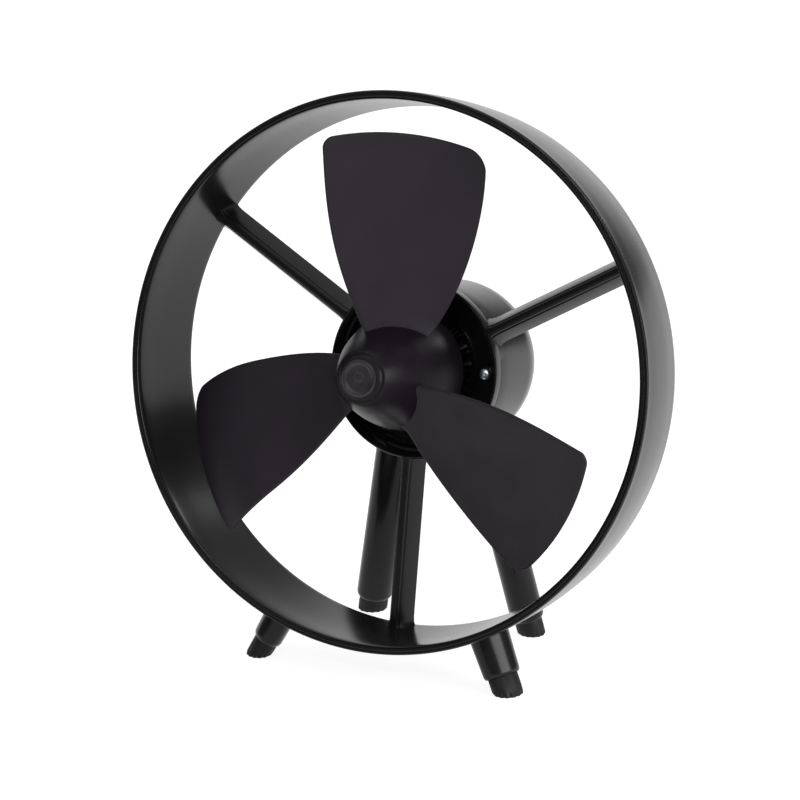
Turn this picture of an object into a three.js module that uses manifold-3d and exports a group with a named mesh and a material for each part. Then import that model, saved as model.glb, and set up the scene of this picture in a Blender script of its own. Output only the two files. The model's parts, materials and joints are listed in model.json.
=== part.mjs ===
// Soft-blade desk fan: a deep round shroud on three spokes, a domed motor housing,
// a bullet-shaped hub with three soft blades, and four splayed legs with rubber feet.
// Millimetres, +Z up, the fan blows towards -Y. The origin is on the floor, under the middle
// of the object's box. Everything on the fan's axis is drawn in the head's own frame: x right,
// y back along the axis from the shroud's front plane, z up. The head then leans back.
import * as THREE from "three";
import { mergeVertices } from "three/addons/utils/BufferGeometryUtils.js";
import Module from "manifold-3d";

const wasm = await Module();
wasm.setup();

// ---- driving dimensions ----
const SHROUD_RADIUS = 140;
const SHROUD_DEPTH = 50;
const HEAD_TILT = THREE.MathUtils.degToRad(10.5);
const HEAD_HEIGHT = 156.9;
const BOX_MIDDLE_Y = 54.68;
const GAP = 0.3;

const SPOKE_FRONT = 37;
const SPOKE_DEPTH = 12.4;
const SPOKE_ANGLES = { right: 30, left: 150, bottom: 270 };
const RIM_RADIUS = 45.5;
const RIM_BACK = 43;
const SPIGOT_RADIUS = 41.6;
const SPIGOT_BACK = 56;
const PLATE_FRONT = 50;
const PLATE_BACK = 52.4;
const PAD_BACK = 57;
const DOME_RADIUS = 42.8;
const DOME_CENTRE = 85.2;
const DOME_MOUTH = 43.2;
const DOME_INNER = 40.8;
const DOME_FLAT_RADIUS = 9;
const DOME_STEPS = 6;
const HOUSING_SEGMENTS = 36;
const SWITCH_HOLE = 5;
const VENT_COUNT = 11;
const VENT_START = -30;
const VENT_STEP = 24;
const GLAND_DROP = THREE.MathUtils.degToRad(35);
const STEM_RADIUS = 2.2;
const STEM_BORE = 2.3;

const SHAFT_RADIUS = 3;
const SHAFT_BORE = 3.15;
const RUNNING_BORE = 3.1;
const BUSH_RADIUS = 6;
const SEAT_RADIUS = 6.3;
const STACK_FRONT = 66;
const STACK_BACK = 88;
const STATOR_RADIUS = 31;
const STATOR_BORE = 17.3;
const ROTOR_RADIUS = 16.8;
const POLE_ANGLES = [45, 135, 225, 315];
const BOLT_CIRCLE = 26.9;
const BOLT_HOLE = 1.7;

const SCREW_CIRCLE = 35;
const SCREW_ANGLES = [1, 121, 241];
const SCREW_HOLE = 1.65;
const SCREW_HEAD = 2.75;
const SCREW_SHANK = 1.5;
const RIB_COUNT = 18;
const RIB_START = 3;

const BLADE_COUNT = 3;
const BLADE_ROOT = 17;
const BLADE_TIP = 119.5;
const BLADE_THICKNESS = 2;
const BLADE_CORNER = 7;
const BLADE_CHORD = 78;
const CURL_START = 80;
const CURL_FRONT = 11.9;
const CURL_BACK = 16.3;
const CURL_SHARES = [0, 1, 0];

const FRONT_FOOT = new THREE.Vector3(69.4, -0.5, 0);
const REAR_FOOT = new THREE.Vector3(45.6, 85.6, 0);
const FRONT_LEAN = new THREE.Vector3(-0.4855, 0.205, 1).normalize();
const REAR_LEAN = new THREE.Vector3(-0.205, -0.153, 1).normalize();
const FOOT_LENGTH = 9;
const SOLE_NOTCHES = 10;

// ---- finishes ----
const finish = (color, roughness, metalness = 0) => ({ color, roughness, metalness });
const GLOSS_BLACK = finish(0x141416, 0.25);
const SOFT_BLADE = finish(0x2a282c, 0.6);
const HUB_PLASTIC = finish(0x211f23, 0.5);
const RUBBER = finish(0x1a1a1c, 0.8);
const ZINC = finish(0xb9bfc2, 0.35, 0.9);
const STEEL = finish(0x9a9ca0, 0.35, 0.9);
const LAMINATED = finish(0x5b5d62, 0.5, 0.8);
const COPPER = finish(0x9c5a2e, 0.4, 0.8);
const BRONZE = finish(0x8f6b3a, 0.5, 0.8);
const CAST_METAL = finish(0x8c8e91, 0.55, 0.8);
const NYLON = finish(0xd8d6cc, 0.5);

// ---- joining and cutting closed geometries ----
function toSolid(geometry) {
  const bare = geometry.index ? geometry.toNonIndexed() : geometry.clone();
  bare.deleteAttribute("normal");
  bare.deleteAttribute("uv");
  const merged = mergeVertices(bare, 1e-4);
  const vertProperties = merged.attributes.position.array;
  const triVerts = new Uint32Array(merged.index.array);
  return new wasm.Manifold(new wasm.Mesh({ numProp: 3, vertProperties, triVerts }));
}

function toGeometry(solid) {
  const mesh = solid.getMesh();
  const geometry = new THREE.BufferGeometry();
  geometry.setAttribute("position", new THREE.BufferAttribute(mesh.vertProperties, 3));
  geometry.setIndex(new THREE.BufferAttribute(mesh.triVerts, 1));
  return geometry.toNonIndexed();
}

function join(first, ...others) {
  return toGeometry(others.reduce((sum, next) => sum.add(toSolid(next)), toSolid(first)));
}

function cut(first, ...others) {
  return toGeometry(others.reduce((rest, next) => rest.subtract(toSolid(next)), toSolid(first)));
}

function common(first, second) {
  return toGeometry(toSolid(first).intersect(toSolid(second)));
}

// ---- shapes about the fan's axis ----
// The profile is a list of [radius, y]. It runs towards the back on its outer side, and either
// starts and ends on the axis or closes on itself.
function turned(profile, segments = 24) {
  const points = profile.map(([radius, y]) => new THREE.Vector2(radius, y));
  if (points[0].x > 0) points.push(points[0].clone());
  return new THREE.LatheGeometry(points, segments);
}

function ringBetween(inner, outer, front, back, segments = 24) {
  return turned([[outer, front], [outer, back], [inner, back], [inner, front]], segments);
}

function disc(radius, front, back, segments = 24) {
  return turned([[0, front], [radius, front], [radius, back], [0, back]], segments);
}

// Turns a geometry about the axis: 0 degrees points to +x, 90 degrees points up.
function around(geometry, degrees) {
  return geometry.clone().rotateY(-THREE.MathUtils.degToRad(degrees));
}

// A disc whose own axis stands at a place on a circle round the fan's axis.
function post(radius, front, back, circle, degrees, segments = 10) {
  return around(disc(radius, front, back, segments).translate(circle, 0, 0), degrees);
}

// An outline in the x-z plane, carried along the axis.
function slab(shape, front, back) {
  const options = { depth: back - front, bevelEnabled: false, curveSegments: 6 };
  return new THREE.ExtrudeGeometry(shape, options).rotateX(Math.PI / 2).translate(0, back, 0);
}

// An outline of [width, y] points, carried outwards from the axis in the +x direction.
function radialBlock(outline, inner, outer) {
  const shape = new THREE.Shape(outline.map(([width, y]) => new THREE.Vector2(width, y)));
  const geometry = new THREE.ExtrudeGeometry(shape, { depth: outer - inner, bevelEnabled: false });
  return geometry.rotateY(Math.PI / 2).translate(inner, 0, 0);
}

function box(low, high) {
  const size = high.map((value, axis) => value - low[axis]);
  const middle = high.map((value, axis) => (value + low[axis]) / 2);
  return new THREE.BoxGeometry(...size).translate(...middle);
}

function every(count, start = 0) {
  return Array.from({ length: count }, (_, index) => start + (360 * index) / count);
}

// ---- shroud ----
const SHROUD_OUTER = [[139.3, 0], [SHROUD_RADIUS, 1.2], [139.3, 15], [137.9, 32], [135.7, 49.2]];
const SHROUD_INNER = [[131.6, SHROUD_DEPTH], [131.4, 49], [132.5, SPOKE_FRONT], [134.2, 18],
  [135.4, 2], [136.2, 0]];
const SHROUD_SEGMENTS = 72;

function shroudRing() {
  return turned([...SHROUD_OUTER, [135, SHROUD_DEPTH], ...SHROUD_INNER], SHROUD_SEGMENTS);
}

// Everything inside the shroud's outer wall, with the clearance that a leg keeps from it.
function shroudEnvelope() {
  const wall = SHROUD_OUTER.map(([radius, y]) => [radius + GAP, y]);
  return turned([[0, 0], ...wall, [0, SHROUD_OUTER.at(-1)[1]]], SHROUD_SEGMENTS);
}

// The free space between the housing's rim and the shroud's inner wall.
function spokeSpace() {
  const wall = SHROUD_INNER.map(([radius, y]) => [radius - GAP, y]).reverse();
  const rim = [[RIM_RADIUS + GAP, SHROUD_DEPTH], [RIM_RADIUS + GAP, 0]];
  return turned([...wall, ...rim], SHROUD_SEGMENTS);
}

// A wedge: a narrow rounded ridge in front and a wide flat back.
function spoke(degrees) {
  const ridge = [[-2.2, 1], [-1.2, 0], [1.2, 0], [2.2, 1]];
  const section = [...ridge, [6.8, SPOKE_DEPTH], [-6.8, SPOKE_DEPTH]];
  const bar = radialBlock(section, RIM_RADIUS - 3, SHROUD_RADIUS).translate(0, SPOKE_FRONT, 0);
  return common(around(bar, degrees), spokeSpace());
}

// ---- motor housing ----
// The pad on each side of a spoke's root, which laps over the dome.
function pad(growth, inner, outer) {
  const half = 14 + growth;
  const back = PAD_BACK + growth;
  const outline = [[-half, 42], [half, 42], [half, 51], [half - 4, back], [4 - half, back], [-half, 51]];
  return radialBlock(outline, inner, outer);
}

function housingFront() {
  const shell = turned([
    [44.9, SPOKE_FRONT], [RIM_RADIUS, 37.6], [RIM_RADIUS, RIM_BACK], [SPIGOT_RADIUS, RIM_BACK],
    [SPIGOT_RADIUS, SPIGOT_BACK], [39.6, SPIGOT_BACK], [39.6, PLATE_BACK], [9.5, PLATE_BACK],
    [9.5, PLATE_FRONT], [39.4, PLATE_FRONT], [40.6, 48.8], [43.7, 37.6], [44.2, SPOKE_FRONT],
  ], HOUSING_SEGMENTS);
  const slots = every(RIB_COUNT, RIB_START + 180 / RIB_COUNT).map((degrees) =>
    around(box([21.5, 49, -1.7], [26.5, 54, 1.7]), degrees));
  const ribs = every(RIB_COUNT, RIB_START).map((degrees) =>
    around(box([21, 47.6, -0.8], [27.5, 51, 0.8]), degrees));
  const padBand = ringBetween(SPIGOT_RADIUS - 1, 43.9, 42, PAD_BACK + 1, HOUSING_SEGMENTS);
  const pads = Object.values(SPOKE_ANGLES).map((degrees) =>
    common(around(pad(0, 30, 50), degrees), padBand));
  const screwBosses = SCREW_ANGLES.map((degrees) =>
    post(4, 48.3, PLATE_BACK, SCREW_CIRCLE, degrees));
  const boltBosses = POLE_ANGLES.map((degrees) =>
    post(3.4, PLATE_FRONT + 1, PAD_BACK - GAP, BOLT_CIRCLE, degrees));
  const screwHoles = SCREW_ANGLES.map((degrees) =>
    post(SCREW_HOLE, 45, 60, SCREW_CIRCLE, degrees, 8));
  const boltHoles = POLE_ANGLES.map((degrees) =>
    post(BOLT_HOLE, 53, 60, BOLT_CIRCLE, degrees, 8));
  const grille = join(cut(shell, ...slots), ...ribs, ...pads, ...screwBosses, ...boltBosses);
  return cut(grille, ...screwHoles, ...boltHoles);
}

function domeArc(radius, flatRadius, steps) {
  const last = Math.acos(flatRadius / radius);
  return Array.from({ length: steps + 1 }, (_, index) => {
    const angle = (last * index) / steps;
    return [radius * Math.cos(angle), DOME_CENTRE + radius * Math.sin(angle)];
  });
}

// The dome's outer shape, filled, grown by a clearance.
function domeEnvelope(growth) {
  const arc = domeArc(DOME_RADIUS + growth, DOME_FLAT_RADIUS, DOME_STEPS);
  const front = RIM_BACK + GAP;
  const tube = [[0, front], [DOME_MOUTH + growth, front], [DOME_MOUTH + growth, 60]];
  return turned([...tube, ...arc, [0, arc.at(-1)[1]]], HOUSING_SEGMENTS);
}

function rearDome() {
  const outer = domeArc(DOME_RADIUS, DOME_FLAT_RADIUS, DOME_STEPS);
  const inner = domeArc(DOME_INNER, DOME_FLAT_RADIUS, DOME_STEPS - 2).reverse();
  const front = RIM_BACK + GAP;
  const mouth = SPIGOT_RADIUS + GAP;
  const shell = turned([
    [DOME_MOUTH, front], [DOME_MOUTH, 60], ...outer,
    [SWITCH_HOLE, outer.at(-1)[1]], [SWITCH_HOLE, inner[0][1]], ...inner,
    [DOME_INNER, 58], [mouth, 57.2], [mouth, front],
  ], HOUSING_SEGMENTS);
  const posts = SCREW_ANGLES.flatMap((degrees) => [
    post(3, SPIGOT_BACK + GAP, 64.5, SCREW_CIRCLE, degrees),
    around(box([SCREW_CIRCLE + 1, 57.6, -1.5], [SPIGOT_RADIUS, 64.5, 1.5]), degrees),
  ]);
  const shelf = common(box([-5, 102, -40], [5, 110, -29.3]), domeEnvelope(-0.2));
  const notches = Object.values(SPOKE_ANGLES).map((degrees) => around(pad(GAP, 38, 50), degrees));
  const screwHoles = SCREW_ANGLES.map((degrees) =>
    post(SCREW_HOLE, 50, 70, SCREW_CIRCLE, degrees, 8));
  const vents = Array.from({ length: VENT_COUNT }, (_, index) =>
    around(box([15.5, 105, -1.1], [26.5, 130, 1.1]), VENT_START + index * VENT_STEP));
  const glandHole = towardsGland(disc(4.2, 34, 48, 24));
  return cut(join(shell, ...posts, shelf), ...notches, ...screwHoles, ...vents, glandHole);
}

// Moves a shape drawn along the y axis to the line of the cable gland, low in the dome's back.
function towardsGland(geometry) {
  return geometry.rotateX(-GLAND_DROP).translate(0, DOME_CENTRE, 0);
}

function cableGland() {
  const section = [[3.9, 38.6], [3.9, 43.1], [6.2, 43.1], [6.2, 45], [5.2, 46.2], [2.6, 46.2], [2.6, 38.6]];
  return towardsGland(turned(section, 24));
}

// A pan-head screw that points to the back, with a cross recess in its head.
function panScrew(headFront, headBack, headRadius, shankRadius, tip) {
  const head = turned([
    [0, headFront], [headRadius * 0.7, headFront], [headRadius, headFront + 0.9],
    [headRadius, headBack], [shankRadius, headBack], [shankRadius, tip - 1],
    [shankRadius * 0.5, tip], [0, tip],
  ], 20);
  const half = headRadius * 0.55;
  const arm = 0.45;
  const across = box([-half, headFront - 1, -arm], [half, headFront + 1, arm]);
  const upright = box([-arm, headFront - 1, -half], [arm, headFront + 1, half]);
  return cut(head, across, upright);
}

function housingScrew(degrees) {
  return around(panScrew(46, 48, SCREW_HEAD, SCREW_SHANK, 63).translate(SCREW_CIRCLE, 0, 0), degrees);
}

// ---- motor ----
function bearingBracketFront() {
  const bracket = turned([
    [8.6, 54], [8.6, 57], [STATOR_RADIUS, 57], [STATOR_RADIUS, STACK_FRONT - GAP],
    [28.9, STACK_FRONT - GAP], [28.9, 59.5], [8.6, 59.5], [8.6, 63], [SEAT_RADIUS, 63], [SEAT_RADIUS, 54],
  ]);
  return cut(bracket, ...POLE_ANGLES.map((degrees) => post(BOLT_HOLE, 50, 70, BOLT_CIRCLE, degrees, 8)));
}

function bearingBracketRear() {
  const bracket = turned([
    [STATOR_RADIUS, STACK_BACK + GAP], [STATOR_RADIUS, 97], [8.6, 97], [8.6, 100.5], [SEAT_RADIUS, 100.5],
    [SEAT_RADIUS, 91.5], [8.6, 91.5], [8.6, 94.5], [28.9, 94.5], [28.9, STACK_BACK + GAP],
  ]);
  return cut(bracket, ...POLE_ANGLES.map((degrees) => post(BOLT_HOLE, 86, 99, BOLT_CIRCLE, degrees, 8)));
}

// Laminated ring with four poles: each pole is a neck with a wide curved shoe.
function statorCore() {
  const outline = new THREE.Shape();
  outline.absarc(0, 0, STATOR_RADIUS, 0, 2 * Math.PI);
  const shoeBack = 19.8;
  const slotBottom = 25;
  const neckHalf = 5;
  const shoeHalf = THREE.MathUtils.degToRad(36);
  const hole = new THREE.Path();
  POLE_ANGLES.forEach((degrees, index) => {
    const pole = THREE.MathUtils.degToRad(degrees);
    const next = pole + Math.PI / 2;
    const neckLow = Math.asin(neckHalf / shoeBack);
    const neckHigh = Math.asin(neckHalf / slotBottom);
    const at = (radius, angle) => [radius * Math.cos(angle), radius * Math.sin(angle)];
    if (index === 0) hole.moveTo(...at(STATOR_BORE, pole - shoeHalf));
    else hole.lineTo(...at(STATOR_BORE, pole - shoeHalf));
    hole.absarc(0, 0, STATOR_BORE, pole - shoeHalf, pole + shoeHalf);
    hole.lineTo(...at(shoeBack, pole + shoeHalf));
    hole.lineTo(...at(shoeBack, pole + neckLow));
    hole.lineTo(...at(slotBottom, pole + neckHigh));
    hole.absarc(0, 0, slotBottom, pole + neckHigh, next - neckHigh);
    hole.lineTo(...at(shoeBack, next - neckLow));
    hole.lineTo(...at(shoeBack, next - shoeHalf));
  });
  outline.holes.push(hole);
  const shape = slab(outline, STACK_FRONT, STACK_BACK);
  return cut(shape, ...POLE_ANGLES.map((degrees) => post(BOLT_HOLE, 60, 95, BOLT_CIRCLE, degrees, 8)));
}

// A winding round one pole's neck.
function coil(degrees) {
  const outer = radialBlock([[-8.6, 62.4], [8.6, 62.4], [8.6, 91.6], [-8.6, 91.6]], 20.2, 22.8);
  const inner = radialBlock([[-5.3, 65.7], [5.3, 65.7], [5.3, 88.3], [-5.3, 88.3]], 19, 24);
  return around(cut(outer, inner), degrees);
}

function rotorCore() {
  return turned([
    [14.5, 63.5], [14.5, STACK_FRONT], [ROTOR_RADIUS, STACK_FRONT], [ROTOR_RADIUS, STACK_BACK],
    [14.5, STACK_BACK], [14.5, 90.5], [SHAFT_BORE, 90.5], [SHAFT_BORE, 63.5],
  ], 24);
}

function motorShaft() {
  const front = -25.2;
  const back = 103;
  return turned([[0, front], [2.4, front], [SHAFT_RADIUS, front + 0.6], [SHAFT_RADIUS, back - 0.6],
    [2.4, back], [0, back]], 24);
}

function motorBolt(degrees) {
  const bolt = turned([
    [0, 54], [1.45, 54], [1.45, 97.3], [2.9, 97.3], [2.9, 98.6], [2.2, 99.4], [0, 99.4],
  ], 16);
  const slot = box([-4, 98.6, -0.4], [4, 101, 0.4]);
  return around(cut(bolt, slot).translate(BOLT_CIRCLE, 0, 0), degrees);
}

// ---- hub and blades ----
const HUB_OUTLINE = new THREE.SplineCurve([[11.9, -25.4], [13.6, -24.2], [17.6, -16.5], [21.5, -7],
  [24.4, 0.5], [28.3, 14], [31, 30]].map(([radius, y]) => new THREE.Vector2(radius, y)));
const HUB_WALL = 2.4;
const HUB_STEPS = 6;
const HUB_SEGMENTS = 30;
const POCKET_FLOOR = -22;

function hubCone() {
  const outer = HUB_OUTLINE.getPoints(HUB_STEPS).map(({ x, y }) => [x, y]);
  const inner = outer.filter(([, y]) => y > -16).map(([radius, y]) => [radius - HUB_WALL, y]).reverse();
  const boss = [[8, -18.4], [8, 24], [SHAFT_BORE, 24], [SHAFT_BORE, POCKET_FLOOR]];
  const pocket = [[11, POCKET_FLOOR], [11, -25.4]];
  return turned([...outer, ...inner, [13.4, -18.4], ...boss, ...pocket], HUB_SEGMENTS);
}

// The cone filled, with the clearance that a blade's root keeps from it.
function hubEnvelope() {
  const outer = HUB_OUTLINE.getPoints(HUB_STEPS).map(({ x, y }) => [x + GAP, y]);
  return turned([[0, -40], [outer[0][0], -40], ...outer, [outer.at(-1)[0], 45], [0, 45]], HUB_SEGMENTS);
}

function noseCap() {
  const dish = [[0, -27.3], [2.8, -27.3], [3.1, -27.6], [6.8, -27.6], [7.3, -28]];
  const edge = [[9.9, -28], [11.2, -27.3], [11.7, -26.2], [11.7, -25.7]];
  const spigot = [[10.7, -25.7], [10.7, -23], [9.2, -23], [9.2, -25.5], [0, -25.5]];
  return turned([...dish, ...edge, ...spigot], 20);
}

function hexNut(across, hole, front, back) {
  const outline = new THREE.Shape(every(6).map((degrees) => {
    const angle = THREE.MathUtils.degToRad(degrees);
    return new THREE.Vector2(across * Math.cos(angle), across * Math.sin(angle)).divideScalar(Math.sqrt(3));
  }));
  outline.holes.push(new THREE.Path().absarc(0, 0, hole, 0, 2 * Math.PI));
  return slab(outline, front, back);
}

// Each edge gives an angle in degrees and a depth along the axis as polynomials in t, which runs
// from -1 near the hub to 1 at the tip.
const BLADE_FRONT_EDGE = { angle: [112.5, -4.8, -1.1, 1.2], depth: [-11, -3, 2.2] };
const BLADE_BACK_EDGE = { angle: [61.9, 9.1, -2.2, 1.2], depth: [18.9, -1.3, -5.6] };

function polynomial(coefficients, t) {
  return coefficients.reduceRight((sum, coefficient) => sum * t + coefficient, 0);
}

// A point of the blade's middle surface; across and along run from 0 to 1.
function bladePoint(across, along) {
  const toEdge = Math.min(across, 1 - across) * BLADE_CHORD;
  const bend = Math.max(0, 1 - toEdge / BLADE_CORNER);
  const tip = BLADE_TIP - BLADE_CORNER * (1 - Math.sqrt(1 - bend * bend));
  const radius = THREE.MathUtils.lerp(BLADE_ROOT, tip, along);
  const t = (radius - 75) / 45;
  const edges = [BLADE_FRONT_EDGE, BLADE_BACK_EDGE];
  const [frontAngle, backAngle] = edges.map((edge) => polynomial(edge.angle, t));
  const [frontDepth, backDepth] = edges.map((edge) => polynomial(edge.depth, t));
  const angle = THREE.MathUtils.degToRad(THREE.MathUtils.lerp(frontAngle, backAngle, across));
  const depth = THREE.MathUtils.lerp(frontDepth, backDepth, across);
  return new THREE.Vector3(radius * Math.cos(angle), depth, radius * Math.sin(angle));
}

function surfaceNormal(surface, across, along) {
  const step = 0.02;
  const chordwise = surface(Math.min(across + step, 1), along);
  chordwise.sub(surface(Math.max(across - step, 0), along));
  const outwards = surface(across, Math.min(along + step, 1));
  outwards.sub(surface(across, Math.max(along - step, 0)));
  return chordwise.cross(outwards).normalize();
}

// The middle surface of a soft blade whose outer part has taken a set and curls back. It keeps
// its length, so it comes in towards the hub. The share is 0 for a straight blade.
function curledPoint(across, along, share) {
  const point = bladePoint(across, along);
  const span = BLADE_TIP - CURL_START;
  const reach = Math.max(0, (Math.hypot(point.x, point.z) - CURL_START) / span);
  const curl = share * THREE.MathUtils.lerp(CURL_FRONT, CURL_BACK, across);
  const shortening = (2 / 3) * (curl * curl / span) * reach ** 3;
  const inwards = new THREE.Vector3(-point.x, 0, -point.z).normalize();
  point.addScaledVector(surfaceNormal(bladePoint, across, along), -curl * reach * reach);
  return point.addScaledVector(inwards, shortening);
}

function blade(degrees, share) {
  const surface = (across, along) => curledPoint(across, along, share);
  const geometry = new THREE.BoxGeometry(1, 1, 1, 8, 9, 1);
  const position = geometry.attributes.position;
  for (let index = 0; index < position.count; index += 1) {
    const even = position.getX(index) + 0.5;
    const across = 0.5 - 0.5 * Math.cos(Math.PI * even);
    const along = position.getY(index) + 0.5;
    const point = surface(across, along);
    const normal = surfaceNormal(surface, across, along);
    point.addScaledVector(normal, position.getZ(index) * BLADE_THICKNESS);
    position.setXYZ(index, point.x, point.y, point.z);
  }
  return around(cut(geometry, hubEnvelope()), degrees);
}

// ---- switch and wiring ----
function speedSwitch() {
  const body = join(box([-9, 108.5, -8], [9, 121, 8]), disc(4.5, 120, 131, 24));
  return cut(body, disc(STEM_BORE, 123, 135));
}

function speedKnob() {
  const dial = turned([
    [0, 124], [STEM_RADIUS, 124], [STEM_RADIUS, 131.6], [7.8, 131.6], [7.8, 129.8],
    [9.2, 129.8], [9.2, 133], [8.6, 133.6], [0, 133.6],
  ], 36);
  const grip = common(box([-2.3, 133, -10], [2.3, 139.5, 10]), disc(8.4, 130, 139.5, 36));
  return join(dial, grip);
}

function terminalBlock() {
  const body = box([-6, 101.5, -29], [6, 110.5, -21]);
  const holes = [-2.8, 2.8].map((x) => disc(1.3, 100, 112, 12).translate(x, 0, -25));
  return cut(body, ...holes);
}

// ---- legs and feet, drawn standing on the floor ----
// A solid of oval section along a leaning axis. The profile is a list of [relative radius, height
// along the axis]; narrow is the half-width towards the lean, and wide is the one across it.
function leaning(profile, foot, lean, narrow, wide) {
  const geometry = turned(profile, 18).scale(narrow, 1, wide);
  const across = new THREE.Vector3(0, 0, 1).cross(lean).normalize();
  const outward = new THREE.Vector3().crossVectors(lean, across);
  return geometry.applyMatrix4(new THREE.Matrix4().makeBasis(outward, lean, across).setPosition(foot));
}

function mirrored(vector, side) {
  return vector.clone().multiply(new THREE.Vector3(side, 1, 1));
}

function standing(geometry) {
  return geometry.rotateX(-HEAD_TILT).translate(0, 0, HEAD_HEIGHT);
}

// The leg widens slowly from its shoulder to its top and holds a peg that the foot is pushed on.
function leg(side, kind) {
  const { foot, lean, narrow, wide, length, top, neighbour } = kind;
  const shoulder = FOOT_LENGTH + GAP;
  const peg = [[0, 4.5], [0.5, 4.5], [0.5, shoulder]];
  const tube = [[0.82, shoulder], [0.96, shoulder + 0.9], [1, shoulder + 2.4], [top, length], [0, length]];
  const solid = leaning([...peg, ...tube], mirrored(foot, side), mirrored(lean, side), narrow, wide);
  return cut(solid, neighbour);
}

// A rubber cap with a flat sole on the floor and notches round the sole's edge.
function rubberFoot(side, kind) {
  const { foot, lean, narrow, wide } = kind;
  const place = mirrored(foot, side);
  const slope = mirrored(lean, side);
  const wall = [[0, -9], [0.78, -9], [0.8, FOOT_LENGTH - 0.8], [0.76, FOOT_LENGTH], [0, FOOT_LENGTH]];
  const cap = leaning(wall, place, slope, narrow, wide);
  const socket = leaning([[0, 4], [0.56, 4], [0.56, 20], [0, 20]], place, slope, narrow, wide);
  const floor = box([-200, -200, -60], [200, 200, 0]);
  const notches = every(SOLE_NOTCHES).map((degrees) => {
    const tooth = new THREE.BoxGeometry(10, 1.5, 1.5).rotateX(Math.PI / 4).translate(9.4, 0, 0);
    return tooth.rotateZ(THREE.MathUtils.degToRad(degrees)).translate(place.x, place.y, 0);
  });
  return cut(cap, socket, floor, ...notches);
}

const FRONT_LEG = {
  foot: FRONT_FOOT, lean: FRONT_LEAN, narrow: 7.6, wide: 10.6, length: 48, top: 1.16,
  neighbour: standing(shroudEnvelope()),
};
const REAR_LEG = {
  foot: REAR_FOOT, lean: REAR_LEAN, narrow: 8.8, wide: 9.6, length: 122, top: 1,
  neighbour: standing(domeEnvelope(GAP)),
};

// ---- the assembly ----
function node(name, geometry, look) {
  const mesh = new THREE.Mesh(geometry, new THREE.MeshStandardMaterial(look));
  mesh.name = name;
  return mesh;
}

const head = new THREE.Group();
head.rotation.x = -HEAD_TILT;
head.position.set(0, -BOX_MIDDLE_Y, HEAD_HEIGHT);
head.add(node("shroud_ring", shroudRing(), GLOSS_BLACK));
Object.entries(SPOKE_ANGLES).forEach(([side, degrees]) => {
  head.add(node(`spoke_${side}`, spoke(degrees), GLOSS_BLACK));
});
head.add(node("motor_housing_front", housingFront(), GLOSS_BLACK));
head.add(node("rear_dome", rearDome(), GLOSS_BLACK));
head.add(node("cable_gland", cableGland(), RUBBER));
SCREW_ANGLES.forEach((degrees, index) => {
  head.add(node(`housing_screw_${index + 1}`, housingScrew(degrees), ZINC));
});

head.add(node("bearing_bracket_front", bearingBracketFront(), CAST_METAL));
head.add(node("bearing_bracket_rear", bearingBracketRear(), CAST_METAL));
head.add(node("bearing_bush_front", ringBetween(RUNNING_BORE, BUSH_RADIUS, 54.2, 62.8), BRONZE));
head.add(node("bearing_bush_rear", ringBetween(RUNNING_BORE, BUSH_RADIUS, 91.7, 100.3), BRONZE));
head.add(node("stator_core", statorCore(), LAMINATED));
POLE_ANGLES.forEach((degrees, index) => {
  head.add(node(`stator_coil_${index + 1}`, coil(degrees), COPPER));
  head.add(node(`motor_bolt_${index + 1}`, motorBolt(degrees), STEEL));
});
head.add(node("rotor_core", rotorCore(), LAMINATED));
head.add(node("motor_shaft", motorShaft(), STEEL));

head.add(node("hub_cone", hubCone(), HUB_PLASTIC));
head.add(node("nose_cap", noseCap(), HUB_PLASTIC));
head.add(node("hub_nut", hexNut(10, SHAFT_BORE, -25.1, -22.3), STEEL));
every(BLADE_COUNT).forEach((degrees, index) => {
  head.add(node(`blade_${index + 1}`, blade(degrees, CURL_SHARES[index]), SOFT_BLADE));
});

head.add(node("speed_switch", speedSwitch(), NYLON));
head.add(node("switch_nut", hexNut(14, 4.8, 127.4, 129.4), STEEL));
head.add(node("speed_knob", speedKnob(), GLOSS_BLACK));
head.add(node("terminal_block", terminalBlock(), NYLON));

const stand = new THREE.Group();
stand.position.set(0, -BOX_MIDDLE_Y, 0);
[["left", -1], ["right", 1]].forEach(([name, side]) => {
  stand.add(node(`front_leg_${name}`, leg(side, FRONT_LEG), GLOSS_BLACK));
  stand.add(node(`front_foot_${name}`, rubberFoot(side, FRONT_LEG), RUBBER));
  stand.add(node(`rear_leg_${name}`, leg(side, REAR_LEG), GLOSS_BLACK));
  stand.add(node(`rear_foot_${name}`, rubberFoot(side, REAR_LEG), RUBBER));
});

const fan = new THREE.Group();
fan.add(head, stand);
export default fan;
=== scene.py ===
"""The looks of a soft-blade desk fan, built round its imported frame.

The fan's own axis comes from the frame's rotor joint. Everything on that axis is drawn in
millimetres in the head's frame: x right, y back from the shroud's front plane, z up. Legs and
feet are drawn in millimetres from the point on the floor below the shroud's front centre.
"""
import json
import math

import bmesh
import bpy
from mathutils import Matrix, Vector


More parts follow.
